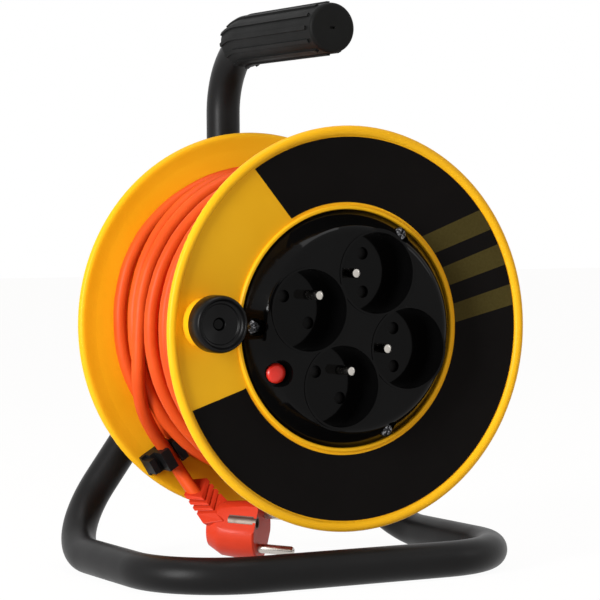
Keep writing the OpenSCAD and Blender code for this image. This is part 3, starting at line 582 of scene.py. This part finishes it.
gloss_black = finish("gloss_black", gloss_paint, Specular_IOR_Level=0.09)
black_zinc = finish("black_zinc", blackened_paint, Metallic=1.0)
dressed("socket_panel", gloss_black, edge=0.0004)
dressed("panel_screws", black_zinc)

# ---- socket contacts ----
# Behind each recess: a nickel-plated earth pin riveted to a brass strap, and two contacts on brass bus bars,
# under a sliding shutter of black plastic. A moulded cover with one screw closes the back.


def brass_paint(tree):
    """Rolled brass strip, a little dull."""
    return {
        "Base Color": tree.noise(150, 3).blend((0.58, 0.40, 0.15), (0.70, 0.50, 0.20)),
        "Roughness": 0.26 + 0.14 * tree.noise(400, 3),
    }


brass = finish("brass", brass_paint, Metallic=1.0)
dressed("earth_pins", nickel_plate)
coated(brass, "earth_strap", "live_busbar", "neutral_busbar")
coated(black_moulding, "shutter_a", "shutter_b", "shutter_c", "shutter_d", "socket_rear_cover")
coated(zinc_plate, "cover_screw")

# ---- cut-out ----
# Thermal cut-out in a black case behind the panel, with two brass blades.
# Its red button stands in the panel's well and is pressed to reset it.


def button_paint(tree):
    """Glossy red plastic."""
    return {
        "Base Color": tree.noise(200, 2).blend((0.62, 0.018, 0.010), (0.70, 0.026, 0.014)),
        "Roughness": 0.26 + 0.10 * tree.noise(300, 2),
    }


button_red = finish("button_red", button_paint, Specular_IOR_Level=0.4)
coated(black_moulding, "cutout_body")
coated(brass, "cutout_terminals")
dressed("reset_button", button_red)

# ---- crank knob ----
# Round knob of smooth black plastic with a deep bowl in its front.
# It spins on a pin in the front flange's boss.


def knob_paint(tree):
    """Smooth black plastic, polished by hands."""
    return {
        "Base Color": tree.noise(50, 3).blend((0.0016, 0.0016, 0.0018), (0.0032, 0.0032, 0.0034)),
        "Roughness": 0.26 + 0.14 * tree.noise(60, 4),
    }


knob_black = finish("knob_black", knob_paint, Specular_IOR_Level=0.12)
crank_angle, crank_radius = 176.5, 0.0798
crank = on_drum(crank_angle, 0, crank_radius)
# from the bore's back over the side and the rim, then down the bowl to the bore's front
knob_profile = [
    (3, -6.3), (13.2, -6.3), (13.6, -6.5), (13.75, -6.9), (13.75, -13), (13.65, -14.2), (13.4, -15.2),
    (13, -15.95), (12.6, -16.4), (12.3, -16.5), (12.05, -16.42), (11.9, -16.2), (11.7, -15.6), (11.3, -14.7),
    (10.8, -14.1), (10.4, -13.9), (10.05, -13.85), (9.85, -13.6), (9.6, -12.9), (9.2, -12.65), (3.5, -12.5),
    (3.15, -12.35), (3, -12), (3, -10.7), (3.9, -10.5), (3.9, -8.9), (3, -8.7), (3, -6.3),
]
knob = put("knob", turned("knob", knob_profile, crank))
knob.data.materials.append(knob_black)
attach(knob, body_of(nodes["crank_knob"])[0])
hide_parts("crank_knob")
# The pin is black plastic, and takes the panel's darker black as painted shade at the bottom of the knob's
# bore.
dressed("crank_pin", gloss_black)

# ---- cord guides ----
# The cord's way out of the drum: a gland behind the sockets, the lead inside the barrel and the grommet in
# the barrel's wall. A black clip on the rear flange holds the cord's end.

coated(black_moulding, "cord_gland", "cord_grommet")
coated(cord_sheath, "inner_lead")
dressed("cable_clip", black_moulding, edge=0.0005)

# ---- floor, lights and background ----
# A plain pale floor that keeps a soft shadow. The main softbox stands far to the left, a weaker one stands on
# the right, and one hangs above.

floor_reach = 6                                   # metres from its middle to its edge
floor_glow = 1.03                                 # how bright its plain white is
floor_glow_share = 0.93                           # the rest of it is lit by the lamps and keeps the shadow
sky_light = 0.34                                  # how much light the background throws on the reel
sky_tint = (1, 0.80, 0.62)
lamp_aim = Vector((0, 0, 0.13))                   # about the middle of the drum

floor_mesh = bpy.data.meshes.new("floor")
bm = bmesh.new()
bmesh.ops.create_grid(bm, x_segments=1, y_segments=1, size=floor_reach)
bm.to_mesh(floor_mesh)
bm.free()
floor = put("floor", floor_mesh)


def seen(tree):
    """1 for rays from the camera, reflections and clear pieces, and 0 for the light that falls on pieces."""
    kinds = ("Is Camera Ray", "Is Glossy Ray", "Is Transmission Ray")
    camera_ray, glossy, through = (tree.node("LightPath", out=kind) for kind in kinds)
    return (camera_ray + glossy + through).clear(0, 1)


floor_paint = bpy.data.materials.new("floor")
floor_paint.use_nodes = True
floor_paint.node_tree.nodes.clear()
tree = Shade(floor_paint.node_tree)
plain = tree.node("BsdfDiffuse", inputs={"Color": (0.80, 0.80, 0.80)})
white = tree.node("Emission", inputs={"Color": (1, 1, 1), "Strength": floor_glow})
mixed = tree.node("MixShader", inputs={0: seen(tree) * floor_glow_share, 1: plain, 2: white})
tree.node("OutputMaterial", inputs={"Surface": mixed})
floor_mesh.materials.append(floor_paint)

studio = bpy.data.worlds.new("studio")
studio.use_nodes = True
studio.node_tree.nodes.clear()
bpy.context.scene.world = studio
tree = Shade(studio.node_tree)
sky = tree.node("Background", inputs={
    "Color": seen(tree).blend(sky_tint, (1, 1, 1)),
    "Strength": sky_light + (1 - sky_light) * seen(tree),
})
tree.node("OutputWorld", inputs={"Surface": sky})


def softbox(name, place, size, power):
    """A rectangular lamp that faces the reel, in metres and watts."""
    lamp = bpy.data.lights.new(name, "AREA")
    lamp.shape = "RECTANGLE"
    lamp.size, lamp.size_y = size
    lamp.energy = power
    made = put(name, lamp)
    made.location = place
    made.rotation_euler = (lamp_aim - made.location).to_track_quat("-Z", "Y").to_euler()


softbox("softbox_left", (-1.75, -0.65, 0.5), (0.45, 1.1), 42)
softbox("softbox_right", (1.5, -1.1, 0.9), (0.4, 0.9), 3)
softbox("softbox_top", (0, -0.1, 1.6), (0.8, 0.8), 6)

bpy.context.scene.view_settings.view_transform = "Standard"
